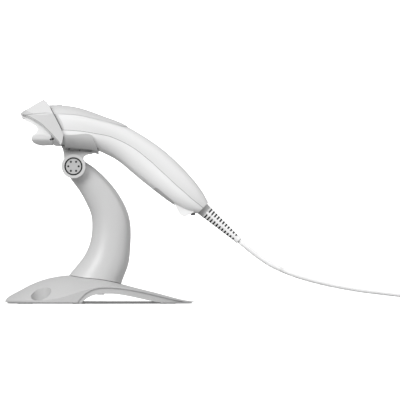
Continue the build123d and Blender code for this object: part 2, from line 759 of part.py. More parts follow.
def inset_sections(t, dx):
    out = []
    for (x, w, e, h) in BASE:
        out.append((x, w - t, e - t, h - t))
    out[0] = (BASE[0][0] + dx, BASE[0][1] + 6 - t, BASE[0][2] - t, BASE[0][3] + 1.6 - t)
    out[-1] = (BASE[-1][0] - dx, BASE[-1][1] + 2 - t, BASE[-1][2] + 0.4 - t, BASE[-1][3] + 0.4 - t)
    return out


base_form = dome(BASE, -6)
base_hollow = dome(inset_sections(cover_t, 2.4), -8)
weight_room = dome(inset_sections(cover_t + 0.6, 5.0), -8)

ARCH = [(-22.3, -1), (-22.3, 0.1), (-18.6, 5.2), (-13.9, 9.8), (-6.1, 14.2), (4.4, 15.9), (19.9, 15.0), (33.0, 13.1),
        (58.9, 7.2), (84.0, 1.6), (84.0, -1)]
with BuildPart() as arch_form:
    with BuildSketch(Plane.XZ):
        with BuildLine():
            Spline(*ARCH[1:-1])
            Polyline(ARCH[-2], ARCH[-1], ARCH[0], ARCH[1])
        make_face()
    extrude(amount=80, both=True)

# the way through under the arch, and the shallow band that runs round it on the rim
LINING = [(-16.7, floor_of_cover), (-14.6, 3.6), (-11.6, 5.9), (-6.8, 8.3), (-1.9, 9.5), (3.9, 9.9), (9.7, 10.0),
          (19.4, 9.3), (29.1, 7.6), (38.8, 5.5), (48.5, 3.3), (55.2, floor_of_cover)]
with BuildPart() as arch_way:
    with BuildSketch(Plane.XZ):
        with BuildLine():
            Spline(*LINING)
            Polyline(LINING[-1], (55.2, -1), (-16.7, -1), LINING[0])
        make_face()
    extrude(amount=80, both=True)
band_bed = dome(inset_sections(1.2, 1.2), -8)
with BuildPart() as arch_band:
    add(arch_form.part)
    add(band_bed.part, mode=Mode.SUBTRACT)

NECK_BOLTS = [(-15.0, 9.0), (-15.0, -9.0), (0.5, 9.0), (0.5, -9.0)]
MOUNT_HOLES = [(mount_hole_x, mount_hole_y), (mount_hole_x, -mount_hole_y)]

with BuildPart() as mount_wells:
    with BuildSketch(Plane.XY.offset(floor_of_cover)):
        with Locations(*MOUNT_HOLES):
            Circle(11.8)
    extrude(amount=30)
    add(base_form.part, mode=Mode.INTERSECT)

with BuildPart() as base_cover:
    add(base_form.part)
    add(base_hollow.part, mode=Mode.SUBTRACT)
    with BuildSketch(Plane.XY.offset(-10)):
        Rectangle(400, 300)
    extrude(amount=10 + floor_of_cover, mode=Mode.SUBTRACT)
    add(mount_wells.part)
    add(arch_way.part, mode=Mode.SUBTRACT)
    add(arch_band.part, mode=Mode.SUBTRACT)
    with BuildSketch(Plane.XY.offset(3.4)):
        with Locations(*MOUNT_HOLES):
            Circle(9.8)
    extrude(amount=40, mode=Mode.SUBTRACT)
    with BuildSketch(Plane.XY.offset(-1)):
        with Locations(*MOUNT_HOLES):
            Circle(mount_hole_r)
    extrude(amount=10, mode=Mode.SUBTRACT)
    with BuildSketch(Plane.XY):
        with Locations(*NECK_BOLTS):
            Circle(2.1)
    extrude(amount=60, mode=Mode.SUBTRACT)
base_cover.part.label = "base_cover"

# steel floor plate
with BuildPart() as base_plate:
    with BuildSketch(Plane.XY.offset(foot_h)):
        with BuildLine():
            Spline((-89.6, 17.0), (-84.0, 33.6), (-74.0, 45.6), (-60.0, 54.0), (-44.0, 57.6), (-14.0, 58.6), (4.0, 57.6),
                   (24.0, 54.6), (44.0, 48.4), (62.0, 41.0), (76.0, 31.8), (89.2, 19.0))
            Line((89.2, 19.0), (89.2, -19.0))
            Spline((-89.6, -17.0), (-84.0, -33.6), (-74.0, -45.6), (-60.0, -54.0), (-44.0, -57.6), (-14.0, -58.6),
                   (4.0, -57.6), (24.0, -54.6), (44.0, -48.4), (62.0, -41.0), (76.0, -31.8), (89.2, -19.0))
            Line((-89.6, -17.0), (-89.6, 17.0))
        make_face()
    extrude(amount=plate_t)
    with BuildSketch(Plane.XY.offset(-1)):
        with Locations(*MOUNT_HOLES):
            Circle(mount_hole_r)
        with Locations((-74, 14), (-74, -14), (68, 14), (68, -14)):
            Circle(1.7)
    extrude(amount=6, mode=Mode.SUBTRACT)
base_plate.part.label = "base_plate"

with BuildPart() as base_feet:
    with BuildSketch(Plane.XY):
        with Locations((-72, 30), (-72, -30), (66, 26), (66, -26)):
            Circle(7.5)
        with Locations((-20, 46), (-20, -46)):
            Circle(6.0)
        Circle(7.5)
    extrude(amount=foot_h)
base_feet.part.label = "base_feet"

with BuildPart() as base_weight:
    with BuildSketch(Plane.XZ):
        with BuildLine():
            Spline(*LINING)
            Polyline(LINING[-1], (80.0, floor_of_cover), (80.0, 3.4), (60, 6.4), (33.0, 12.2), (20, 14.4), (4.4, 19.6),
                     (-13.9, 21.0), (-40, 16.5), (-64, 11.0), (-80, 5.4), (-80, floor_of_cover), LINING[0])
        make_face()
    extrude(amount=42, both=True)
    add(weight_room.part, mode=Mode.INTERSECT)
    with BuildSketch(Plane.XY.offset(-1)):
        with Locations(*MOUNT_HOLES):
            Circle(12.4)
    extrude(amount=40, mode=Mode.SUBTRACT)
    with BuildSketch(Plane.XY.offset(-1)):
        with Locations(*NECK_BOLTS):
            Circle(2.1)
    extrude(amount=60, mode=Mode.SUBTRACT)
    with BuildSketch(Plane.XY.offset(-1)):
        with Locations(*NECK_BOLTS):
            Circle(3.7)
    extrude(amount=12.4, mode=Mode.SUBTRACT)
    with BuildSketch(Plane.XY.offset(-1)):
        with Locations((-74, 14), (-74, -14), (68, 14), (68, -14)):
            Circle(1.2)
    extrude(amount=5.6, mode=Mode.SUBTRACT)
base_weight.part.label = "base_weight"

with BuildPart() as plate_screws:
    with BuildSketch(Plane.XY.offset(0.1)):
        with Locations((-74, 14), (-74, -14), (68, 14), (68, -14)):
            Circle(1.65)
    extrude(amount=1.7)
    with BuildSketch(Plane.XY.offset(1.8)):
        with Locations((-74, 14), (-74, -14)):
            Circle(1.2)
    extrude(amount=2.6)
    with BuildSketch(Plane.XY.offset(1.8)):
        with Locations((68, 14), (68, -14)):
            Circle(1.2)
    extrude(amount=1.6)
plate_screws.part.label = "plate_screws"

# ---------------------------------------------------------------- stand: neck
# left and right edge of each section, half width
NECK = [((-34.5, 19.5), (19.2, 10.5), 26.0), ((-30.1, 27.2), (20.6, 19.0), 24.4), ((-23.4, 35.6), (24.6, 30.0), 22.2),
        ((-16.0, 45.2), (27.9, 40.4), 20.4), ((-10.4, 56.8), (29.4, 53.9), 18.8), ((-7.6, 73.3), (29.8, 73.3), 17.0),
        ((-8.5, 85.9), (27.2, 87.9), 15.8), ((-11.6, 94.2), (21.8, 100.0), 14.8), ((-17.3, 105.3), (13.1, 113.1), 13.8),
        ((-22.8, 113.6), (3.9, 123.3), 13.1), ((-27.6, 119.9), (-4.4, 130.8), 12.9), ((-36.4, 128.0), (-14.8, 137.9), 12.9)]


def oval(a, b, n=2.15, steps=24):
    pts = []
    for k in range(4 * steps):
        t = 2 * pi * k / (4 * steps)
        c, d = cos(t), sin(t)
        pts.append((a * (1 if c >= 0 else -1) * abs(c) ** (2 / n), b * (1 if d >= 0 else -1) * abs(d) ** (2 / n)))
    return pts


def neck_form(sections, grow):
    with BuildPart() as made:
        for (l, r, b) in sections:
            a = hypot(r[0] - l[0], r[1] - l[1]) / 2
            ux, uz = (r[0] - l[0]) / (2 * a), (r[1] - l[1]) / (2 * a)
            ring = oval(a + grow, b + grow)
            with BuildSketch(Plane(origin=((l[0] + r[0]) / 2, 0, (l[1] + r[1]) / 2), x_dir=(ux, 0, uz),
                                   z_dir=(-uz, 0, ux))):
                with BuildLine():
                    Spline(*even_points(ring[:49]), tangents=((0, 1), (0, -1)))
                    Spline(*even_points(ring[48:] + ring[:1]), tangents=((0, -1), (0, 1)))
                make_face()
        loft()
    return made


neck_out = neck_form(NECK, 0.0)
neck_in = neck_form(NECK[:10], -2.4)
neck_mid = neck_form(NECK[:10], -1.2)
NECK_SCREWS = [(10.0, 60.0), (6.5, 94.0)]


with BuildPart() as neck_room:
    add(neck_in.part)
    add(base_form.part.moved(Location((0, 0, 3.0))), mode=Mode.SUBTRACT)
    # bolt bosses and screw pillars stay solid
    with BuildSketch(Plane.XY.offset(10)):
        with Locations(*NECK_BOLTS):
            Circle(4.6)
    extrude(amount=32, mode=Mode.SUBTRACT)
    with BuildSketch(Plane.XZ):
        with Locations(*NECK_SCREWS):
            Circle(4.2)
    extrude(amount=40, both=True, mode=Mode.SUBTRACT)

with BuildPart() as neck_whole:
    add(neck_out.part)
    with BuildSketch(Plane.XZ.offset(-barrel_w)):
        with Locations((pivot_x, pivot_z)):
            Circle(barrel_r)
    extrude(amount=2 * barrel_w)
    add(base_form.part, mode=Mode.SUBTRACT)
    add(neck_room.part, mode=Mode.SUBTRACT)
    with BuildSketch(Plane.XZ):
        with Locations((pivot_x, pivot_z)):
            Circle(bolt_r + 0.05)
    extrude(amount=60, both=True, mode=Mode.SUBTRACT)
    with BuildSketch(Plane.XY):
        with Locations(*NECK_BOLTS):
            Circle(1.7)
    extrude(amount=38, mode=Mode.SUBTRACT)

with BuildPart() as neck_left:
    add(neck_whole.part)
    with BuildSketch(Plane.XZ):
        Rectangle(400, 500)
    extrude(amount=-80, mode=Mode.SUBTRACT)
    with BuildSketch(Plane.XZ):
        with Locations(*NECK_SCREWS):
            Circle(1.25)
    extrude(amount=10, mode=Mode.SUBTRACT)
neck_left.part.label = "neck_left"
with BuildPart() as neck_right:
    add(neck_whole.part)
    with BuildSketch(Plane.XZ):
        Rectangle(400, 500)
    extrude(amount=80, mode=Mode.SUBTRACT)
    with BuildSketch(Plane.XZ):
        with Locations(*NECK_SCREWS):
            Circle(1.5)
    extrude(amount=-12, mode=Mode.SUBTRACT)
    with BuildSketch(Plane.XZ.offset(-8)):
        with Locations(*NECK_SCREWS):
            Circle(3.0)
    extrude(amount=-30, mode=Mode.SUBTRACT)
neck_right.part.label = "neck_right"
with BuildPart() as neck_screws:
    with BuildSketch(Plane.XZ.offset(-8)):
        with Locations(*NECK_SCREWS):
            Circle(2.8)
    extrude(amount=-2.2)
    with BuildSketch(Plane.XZ.offset(9)):
        with Locations(*NECK_SCREWS):
            Circle(1.2)
    extrude(amount=-17)
neck_screws.part.label = "neck_screws"
with BuildPart() as neck_bolts:
    with BuildSketch(Plane.XY.offset(8.8)):
        with Locations(*NECK_BOLTS):
            Circle(3.5)
    extrude(amount=2.6)
    with BuildSketch(Plane.XY.offset(11.4)):
        with Locations(*NECK_BOLTS):
            Circle(1.65)
    extrude(amount=24)
neck_bolts.part.label = "neck_bolts"

# ---------------------------------------------------------------- pivot
with BuildPart() as pivot_bolt:
    with BuildSketch(Plane.XZ.offset(-ear_out + 5.4)):
        with Locations((pivot_x, pivot_z)):
            Circle(bolt_r)
    extrude(amount=2 * ear_out - 10.8)
    with BuildSketch(Plane.XZ.offset(ear_out - 5.4)):
        with Locations((pivot_x, pivot_z)):
            Circle(5.2)
    extrude(amount=2.6)
    # threaded end
    with BuildSketch(Plane.XZ.offset(-ear_out + 5.4)):
        with Locations((pivot_x, pivot_z)):
            Circle(2.4)
    extrude(amount=-2.6)
pivot_bolt.part.label = "pivot_bolt"
with BuildPart() as pivot_nut:
    with BuildSketch(Plane.XZ.offset(-ear_out + 5.4)):
        with Locations((pivot_x, pivot_z)):
            RegularPolygon(5.2, 6)
            Circle(2.4, mode=Mode.SUBTRACT)
    extrude(amount=-2.6)
pivot_nut.part.label = "pivot_nut"
with BuildPart() as pivot_washers:
    with BuildSketch(Plane.XZ.offset(barrel_w + 0.1)):
        with Locations((pivot_x, pivot_z)):
            Circle(9.0)
            Circle(bolt_r, mode=Mode.SUBTRACT)
    extrude(amount=washer_t - 0.15)
    with BuildSketch(Plane.XZ.offset(-barrel_w - 0.1)):
        with Locations((pivot_x, pivot_z)):
            Circle(9.0)
            Circle(bolt_r, mode=Mode.SUBTRACT)
    extrude(amount=-washer_t + 0.15)
pivot_washers.part.label = "pivot_washers"


def pivot_cap(side):
    # disc with six small holes, sunk in the ear; side is -1 for -Y and 1 for +Y
    with BuildPart() as made:
        with BuildSketch(Plane.XZ.offset(-side * (ear_out - 2.6))):
            with Locations((pivot_x, pivot_z)):
                Circle(7.4)
        extrude(amount=-side * 2.3)
        with BuildSketch(Plane.XZ.offset(-side * (ear_out - 1.5))):
            with Locations((pivot_x, pivot_z)):
                with PolarLocations(5.05, 6):
                    Circle(0.85)
        extrude(amount=-side * 3, mode=Mode.SUBTRACT)
    return made


pivot_cap_left = pivot_cap(-1)
pivot_cap_left.part.label = "pivot_cap_left"
pivot_cap_right = pivot_cap(1)
pivot_cap_right.part.label = "pivot_cap_right"

# ---------------------------------------------------------------- cradle
TRAY = [(-34.1, 163.2), (-28.5, 163.3), (-22.3, 163.7), (-17.0, 164.4), (-13.5, 164.6), (-10.0, 164.1), (-7.3, 163.0),
        (-4.1, 154.6), (-2.2, 149.7), (-1.3, 146.9), (-1.3, 140), (-34.1, 140)]
with BuildPart() as tray_region:
    with BuildSketch(Plane.XZ):
        with BuildLine():
            Polyline(*TRAY, close=True)
        make_face()
    extrude(amount=60, both=True)
tray_out = grip_form(SEC[1:7], fit_gap + cradle_t)
tray_in = grip_form([moved(SEC[0], -3.0)] + SEC[1:8], fit_gap)
BRACKET = [(-37.2, 152.6), (-36.0, 149.6), (-35.2, 146.8), (-34.7, 143.2), (-34.6, 139.5), (-36.0, 133.1), (-15.0, 133.1),
           (-16.3, 140.2), (-15.8, 142.6), (-13.1, 144.2), (-6.9, 145.6), (-1.6, 146.5), (-1.5, 149.0), (-2.0, 158.0),
           (-34.0, 158.0), (-34.0, 153.4)]
with BuildPart() as cradle:
    with BuildSketch(Plane.XZ):
        with BuildLine():
            Polyline(*BRACKET, close=True)
        make_face()
    extrude(amount=web_out, both=True)
    with BuildSketch(Plane.XZ):
        with BuildLine():
            Polyline((-60, 133.1), (pivot_x - ear_r, 133.1), (pivot_x - ear_r, 139.4), (-34.7, 143.2), (-60, 143.2), close=True)
        make_face()
        with BuildLine():
            Polyline((20, 133.1), (pivot_x + ear_r, 133.1), (pivot_x + ear_r + 0.6, 138.0), (20, 138.0), close=True)
        make_face()
    extrude(amount=40, both=True, mode=Mode.SUBTRACT)
    # round ear discs about the pivot, proud of the web
    with BuildSketch(Plane.XZ):
        with Locations((pivot_x, pivot_z)):
            Circle(11.6)
    extrude(amount=ear_out, both=True)
    add(tray_in.part, mode=Mode.SUBTRACT)
    # fork: room for the barrel
    with BuildSketch(Plane.XZ):
        with Locations((pivot_x, pivot_z)):
            Circle(barrel_r + 0.6)
        with BuildLine():
            Polyline((-60, 90), (-60, 133.1), (pivot_x - barrel_r - 0.6, 133.1), (pivot_x + barrel_r + 0.6, 133.1), (20, 133.1),
                     (20, 90), close=True)
        make_face()
    extrude(amount=ear_in, both=True, mode=Mode.SUBTRACT)
    # recesses for the caps, seats for bolt head and nut, cross hole
    with BuildSketch(Plane.XZ.offset(ear_out - 2.6)):
        with Locations((pivot_x, pivot_z)):
            Circle(8.5)
    extrude(amount=10, mode=Mode.SUBTRACT)
    with BuildSketch(Plane.XZ.offset(-ear_out + 2.6)):
        with Locations((pivot_x, pivot_z)):
            Circle(8.5)
    extrude(amount=-10, mode=Mode.SUBTRACT)
    with BuildSketch(Plane.XZ.offset(ear_out - 5.4)):
        with Locations((pivot_x, pivot_z)):
            Circle(5.4)
    extrude(amount=10, mode=Mode.SUBTRACT)
    with BuildSketch(Plane.XZ.offset(-ear_out + 5.4)):
        with Locations((pivot_x, pivot_z)):
            Circle(5.4)
    extrude(amount=-10, mode=Mode.SUBTRACT)
    with BuildSketch(Plane.XZ):
        with Locations((pivot_x, pivot_z)):
            Circle(bolt_r)
    extrude(amount=40, both=True, mode=Mode.SUBTRACT)
with BuildPart() as tray:
    add(tray_out.part)
    add(tray_region.part, mode=Mode.INTERSECT)
    add(tray_in.part, mode=Mode.SUBTRACT)
magnet_at = (-12.0, 0.0)
with BuildPart() as cradle_final:
    add(cradle.part)
    add(tray.part)
    # shadow slots under the tray, both sides
    with BuildSketch(Plane.XZ):
        with BuildLine():
            Polyline((-40, 148.4), (-30.6, 148.2), (-30.6, 150.6), (-40, 151.0), close=True)
        make_face()
        with BuildLine():
            Polyline((-28.9, 148.1), (-20.1, 147.7), (-20.1, 150.1), (-28.9, 150.5), close=True)
        make_face()
        with BuildLine():
            Polyline((-18.9, 147.6), (-7.8, 147.0), (-7.8, 149.0), (-18.9, 150.0), close=True)
        make_face()
    extrude(amount=40, both=True, mode=Mode.SUBTRACT)
with BuildPart() as slot_keep:
    add(cradle.part)
    add(tray.part)
    with BuildSketch(Plane.XY.offset(140)):
        Rectangle(300, 25)
    extrude(amount=30, mode=Mode.INTERSECT)
with BuildPart() as cradle_done:
    add(cradle_final.part)
    add(slot_keep.part)
    with BuildSketch(Plane.XY.offset(140)):
        with Locations(magnet_at):
            Circle(4.0)
    extrude(amount=6.6, mode=Mode.SUBTRACT)
cradle_done.part.label = "cradle"
with BuildPart() as cradle_magnet:
    with BuildSketch(Plane.XY.offset(144.8)):
        with Locations(magnet_at):
            Circle(4.0)
    extrude(amount=1.8)
cradle_magnet.part.label = "cradle_magnet"

# ---------------------------------------------------------------- write every piece
PIECES = {
    "upper_housing": upper_final, "lower_housing": lower_final, "top_trim": top_trim, "grip_label_pad": grip_label_pad,
    "scan_button": scan_button, "status_light": status_light, "switch_board": switch_board,
    "window_block": window_block, "scan_window": scan_window, "window_gasket": window_gasket, "nose_hood": nose_hood,
    "optical_frame": optical_frame, "laser_module": laser_module, "mirror_motor": mirror_motor,
    "mirror_shaft": mirror_shaft, "scan_mirror": scan_mirror, "photodiode_board": photodiode_board,
    "main_board": main_board, "beeper": beeper, "housing_screws": housing_screws, "heel_plug": heel_plug,
    "cable_boot": cable_boot, "cord_jack": cord_jack, "jack_plug": jack_plug, "cord_tube": cord_tube,
    "cord_coil": cord_coil, "coil_tie": coil_tie, "plug_grip": plug_grip, "plug_shell": plug_shell,
    "plug_tongue": plug_tongue, "base_cover": base_cover, "base_plate": base_plate, "base_feet": base_feet,
    "base_weight": base_weight, "plate_screws": plate_screws, "neck_left": neck_left, "neck_right": neck_right,
    "neck_screws": neck_screws, "neck_bolts": neck_bolts, "pivot_bolt": pivot_bolt, "pivot_nut": pivot_nut,
    "pivot_washers": pivot_washers, "pivot_cap_left": pivot_cap_left, "pivot_cap_right": pivot_cap_right,
    "cradle": cradle_done, "cradle_magnet": cradle_magnet,
}
for name, built in PIECES.items():
    print(name, built.part.is_valid, len(built.solids()), round(built.part.volume, 1))
    export_step(built.part, "parts/" + name + ".step")
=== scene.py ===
import bpy, math, json, random
import numpy as np
from mathutils import Vector, Matrix
from mathutils.bvhtree import BVHTree


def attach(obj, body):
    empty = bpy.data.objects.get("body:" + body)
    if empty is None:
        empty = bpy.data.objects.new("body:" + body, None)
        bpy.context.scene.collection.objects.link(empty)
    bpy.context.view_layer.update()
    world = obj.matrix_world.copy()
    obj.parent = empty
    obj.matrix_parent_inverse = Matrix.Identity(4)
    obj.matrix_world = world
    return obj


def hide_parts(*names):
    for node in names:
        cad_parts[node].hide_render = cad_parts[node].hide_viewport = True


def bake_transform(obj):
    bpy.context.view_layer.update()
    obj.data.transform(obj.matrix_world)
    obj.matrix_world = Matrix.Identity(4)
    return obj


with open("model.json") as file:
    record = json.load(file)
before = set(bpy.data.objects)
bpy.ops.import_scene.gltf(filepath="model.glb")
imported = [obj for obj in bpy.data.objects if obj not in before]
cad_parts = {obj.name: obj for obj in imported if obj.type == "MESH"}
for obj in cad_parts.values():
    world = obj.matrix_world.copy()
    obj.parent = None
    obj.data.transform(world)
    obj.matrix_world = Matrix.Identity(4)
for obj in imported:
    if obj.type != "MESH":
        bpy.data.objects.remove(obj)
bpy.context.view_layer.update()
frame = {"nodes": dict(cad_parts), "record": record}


NODES = frame["nodes"]
D = bpy.data

# ------------------------------------------------------------------ camera, floor, light
MID = Vector((0.0970, 0.0, 0.1005))
LENS, SENSOR, WIDTH = 1000.0, 36.0, 0.388
DIST = LENS / SENSOR * WIDTH
cam = D.objects.new("camera", D.cameras.new("camera"))
bpy.context.scene.collection.objects.link(cam)
cam.data.lens, cam.data.sensor_width = LENS, SENSOR
cam.data.clip_start, cam.data.clip_end = 0.5, 120
cam.location = MID + Vector((0, -DIST, 0))
cam.rotation_euler = (math.radians(90), 0, 0)
bpy.context.scene.camera = cam


def mesh_object(name, verts, faces, smooth=False):
    me = D.meshes.new(name)
    me.from_pydata(verts, [], faces)
    me.update()
    if smooth:
        for p in me.polygons:
            p.use_smooth = True
    o = D.objects.new(name, me)
    bpy.context.scene.collection.objects.link(o)
    return o


# pale round studio: a flat floor that curves up into a plain wall all the way round
def sweep_floor(reach=10.0, bend=2.2, top=9.0, around=128):
    prof = [(0.35, 0.0), (2.0, 0.0), (6.0, 0.0), (reach - bend, 0.0)]
    for k in range(1, 13):
        a = math.radians(90 * k / 12)
        prof.append((reach - bend + bend * math.sin(a), bend - bend * math.cos(a)))
    prof.append((reach, top))
    v, f = [(0.0, 0.0, 0.0)], []
    for (r, z) in prof:
        for k in range(around):
            a = 2 * math.pi * k / around
            v.append((r * math.cos(a), r * math.sin(a), z))
    for k in range(around):
        f.append((0, 1 + k, 1 + (k + 1) % around))
    for j in range(len(prof) - 1):
        for k in range(around):
            q = (k + 1) % around
            f.append((1 + j * around + k, 1 + (j + 1) * around + k, 1 + (j + 1) * around + q, 1 + j * around + q))
    # the floor goes on outside the wall, for a camera that stands there
    base = len(v)
    for k in range(around):
        a = 2 * math.pi * k / around
        v.append((45.0 * math.cos(a), 45.0 * math.sin(a), 0.0))
    for k in range(around):
        q = (k + 1) % around
        f.append((1 + 3 * around + k, base + k, base + q, 1 + 3 * around + q))
    return mesh_object("studio_floor", v, f, True)


def studio_paper(name, glow):
    m = D.materials.new(name)
    m.use_nodes = True
    b = m.node_tree.nodes["Principled BSDF"]
    b.inputs["Base Color"].default_value = (0.93, 0.93, 0.93, 1)
    b.inputs["Roughness"].default_value = 0.9
    b.inputs["Specular IOR Level"].default_value = 0.0
    b.inputs["Emission Color"].default_value = (1, 1, 1, 1)
    b.inputs["Emission Strength"].default_value = glow
    # the near side of the round wall is open to a camera that stands outside it
    n, l = m.node_tree.nodes, m.node_tree.links
    geo, clear, mix = n.new("ShaderNodeNewGeometry"), n.new("ShaderNodeBsdfTransparent"), n.new("ShaderNodeMixShader")
    l.new(geo.outputs["Backfacing"], mix.inputs["Fac"])
    l.new(b.outputs["BSDF"], mix.inputs[1])
    l.new(clear.outputs["BSDF"], mix.inputs[2])
    l.new(mix.outputs["Shader"], n["Material Output"].inputs["Surface"])
    return m


floor = sweep_floor()
floor.data.materials.append(studio_paper("studio_paper", 0.42))
floor.data.materials.append(studio_paper("studio_wall", 0.66))
for p in floor.data.polygons:
    p.material_index = 1 if p.center.z > 0.02 or math.hypot(p.center.x, p.center.y) > 7.0 else 0
# the white paper is lit up for the camera; what it would throw back onto the object comes from the studio world
floor.visible_diffuse = False
floor.visible_glossy = False
floor.visible_shadow = False


def sun(name, toward, power, spread):
    # toward: the direction from the object to the light
    li = D.lights.new(name, "SUN")
    li.energy = power
    li.angle = math.radians(spread)
    o = D.objects.new(name, li)
    bpy.context.scene.collection.objects.link(o)
    o.rotation_euler = Vector(toward).to_track_quat("Z", "Y").to_euler()
    return o


sun("key", (-0.46, -0.70, 0.50), 2.10, 30)
sun("fill", (0.50, -0.82, -0.08), 0.45, 60)
sun("rim", (0.60, -0.35, 0.72), 0.70, 50)


def studio_world():
    w = bpy.context.scene.world or D.worlds.new("studio")
    bpy.context.scene.world = w
    w.use_nodes = True
    t = w.node_tree
    n, l = t.nodes, t.links
    bg = n.get("Background") or n.new("ShaderNodeBackground")
    tc = n.new("ShaderNodeTexCoord")
    sep = n.new("ShaderNodeSeparateXYZ")
    l.new(tc.outputs["Generated"], sep.inputs["Vector"])
    mr = n.new("ShaderNodeMapRange")
    mr.interpolation_type = "SMOOTHSTEP"
    for k, v in (("From Min", -0.45), ("From Max", 0.35), ("To Min", 0.31), ("To Max", 0.56)):
        mr.inputs[k].default_value = v
    l.new(sep.outputs["Z"], mr.inputs["Value"])
    side = n.new("ShaderNodeMapRange")
    for k, v in (("From Min", -1.0), ("From Max", 1.0), ("To Min", 1.15), ("To Max", 0.85)):
        side.inputs[k].default_value = v
    l.new(sep.outputs["X"], side.inputs["Value"])
    mul = n.new("ShaderNodeMath")
    mul.operation = "MULTIPLY"
    l.new(mr.outputs["Result"], mul.inputs[0])
    l.new(side.outputs["Result"], mul.inputs[1])
    bg.inputs["Color"].default_value = (1, 1, 1, 1)
    l.new(mul.outputs["Value"], bg.inputs["Strength"])


studio_world()
bpy.context.scene.view_settings.view_transform = "Standard"


# ------------------------------------------------------------------ materials
def new_mat(name, color, rough=0.5, metal=0.0, coat=0.0, spec=0.5):
    m = D.materials.new(name)
    m.use_nodes = True
    b = m.node_tree.nodes["Principled BSDF"]
    b.inputs["Base Color"].default_value = (*color, 1)
    b.inputs["Roughness"].default_value = rough
    b.inputs["Metallic"].default_value = metal
    b.inputs["Coat Weight"].default_value = coat
    b.inputs["Specular IOR Level"].default_value = spec
    return m, m.node_tree, b


def mottled(name, color, rough, grain=2600.0, bump=0.05, depth=0.00012, vary=0.03, rough_vary=0.06, metal=0.0,
            coat=0.0, spec=0.5, tone_scale=34.0, wear=None):
    """Moulded plastic: fine spark-eroded grain in the bump, slow drift of tone and of gloss."""
    m, t, b = new_mat(name, color, rough, metal, coat, spec)
    n, l = t.nodes, t.links
    tc = n.new("ShaderNodeTexCoord")
    slow = n.new("ShaderNodeTexNoise")
    slow.inputs["Scale"].default_value = tone_scale
    slow.inputs["Detail"].default_value = 4
    l.new(tc.outputs["Object"], slow.inputs["Vector"])
    ramp = n.new("ShaderNodeValToRGB")
    ramp.color_ramp.elements[0].position, ramp.color_ramp.elements[1].position = 0.3, 0.72
    lo = [max(0.0, c * (1 - vary)) for c in color]
    hi = [min(1.0, c * (1 + vary)) for c in color]
    ramp.color_ramp.elements[0].color = (*lo, 1)
    ramp.color_ramp.elements[1].color = (*hi, 1)
    l.new(slow.outputs["Fac"], ramp.inputs["Fac"])
    l.new(ramp.outputs["Color"], b.inputs["Base Color"])
    mr = n.new("ShaderNodeMapRange")
    mr.inputs["To Min"].default_value = max(0.02, rough - rough_vary)
    mr.inputs["To Max"].default_value = min(1.0, rough + rough_vary)
    l.new(slow.outputs["Fac"], mr.inputs["Value"])
    l.new(mr.outputs["Result"], b.inputs["Roughness"])
    fine = n.new("ShaderNodeTexNoise")
    fine.inputs["Scale"].default_value = grain
    fine.inputs["Detail"].default_value = 2
    l.new(tc.outputs["Object"], fine.inputs["Vector"])
    bp = n.new("ShaderNodeBump")
    bp.inputs["Strength"].default_value = bump
    bp.inputs["Distance"].default_value = depth
    l.new(fine.outputs["Fac"], bp.inputs["Height"])
    l.new(bp.outputs["Normal"], b.inputs["Normal"])
    return m


MAT = {}
MAT["housing_upper"] = mottled("upper_plastic", (0.70, 0.70, 0.70), 0.42, bump=0.16, vary=0.010)
MAT["housing_lower"] = mottled("lower_plastic", (0.82, 0.82, 0.82), 0.44, bump=0.16, vary=0.010)
MAT["trim_grey"] = mottled("trim_plastic", (0.59, 0.59, 0.59), 0.36, bump=0.10, vary=0.012)
MAT["hood_grey"] = mottled("hood_plastic", (0.615, 0.615, 0.615), 0.40, bump=0.12, vary=0.012)
MAT["cradle_grey"] = mottled("cradle_plastic", (0.56, 0.56, 0.56), 0.46, bump=0.2, vary=0.02)
MAT["stand_grey"] = mottled("neck_plastic", (0.51, 0.51, 0.51), 0.40, bump=0.14, vary=0.012)
MAT["base_grey"] = mottled("base_plastic", (0.48, 0.48, 0.48), 0.44, bump=0.18, vary=0.012)
MAT["cord_white"] = mottled("cord_sheath", (0.80, 0.80, 0.80), 0.40, bump=0.08, vary=0.015, grain=1500)
sheath = MAT["cord_white"].node_tree.nodes["Principled BSDF"]
sheath.inputs["Subsurface Weight"].default_value = 1.0
sheath.inputs["Subsurface Radius"].default_value = (1.0, 1.0, 1.0)
sheath.inputs["Subsurface Scale"].default_value = 0.004
MAT["boot_white"] = mottled("boot_rubber", (0.80, 0.80, 0.80), 0.48, bump=0.1, vary=0.015)
MAT["dark_rubber"] = mottled("black_rubber", (0.022, 0.022, 0.022), 0.68, bump=0.3, vary=0.2)
MAT["dark_plastic"] = mottled("black_plastic", (0.035, 0.035, 0.036), 0.42, bump=0.2, vary=0.15)
MAT["lamp_clear"] = mottled("lamp_plastic", (0.55, 0.60, 0.60), 0.15, bump=0.02, vary=0.05)
MAT["plated_steel"] = mottled("zinc_steel", (0.58, 0.58, 0.57), 0.34, metal=1.0, bump=0.12, vary=0.10, tone_scale=90)
MAT["cast_weight"] = mottled("painted_casting", (0.50, 0.50, 0.50), 0.55, bump=0.35, depth=0.0003, grain=1200, vary=0.06)
MAT["board_green"] = mottled("board_laminate", (0.03, 0.16, 0.07), 0.40, bump=0.1, vary=0.18)
MAT["brass"] = mottled("turned_brass", (0.72, 0.52, 0.22), 0.28, metal=1.0, bump=0.1, vary=0.08)
MAT["magnet_metal"] = mottled("nickel_plate", (0.62, 0.61, 0.58), 0.22, metal=1.0, bump=0.05, vary=0.05)
MAT["mirror_glass"] = mottled("silvered_glass", (0.92, 0.92, 0.94), 0.03, metal=1.0, bump=0.0, vary=0.01)


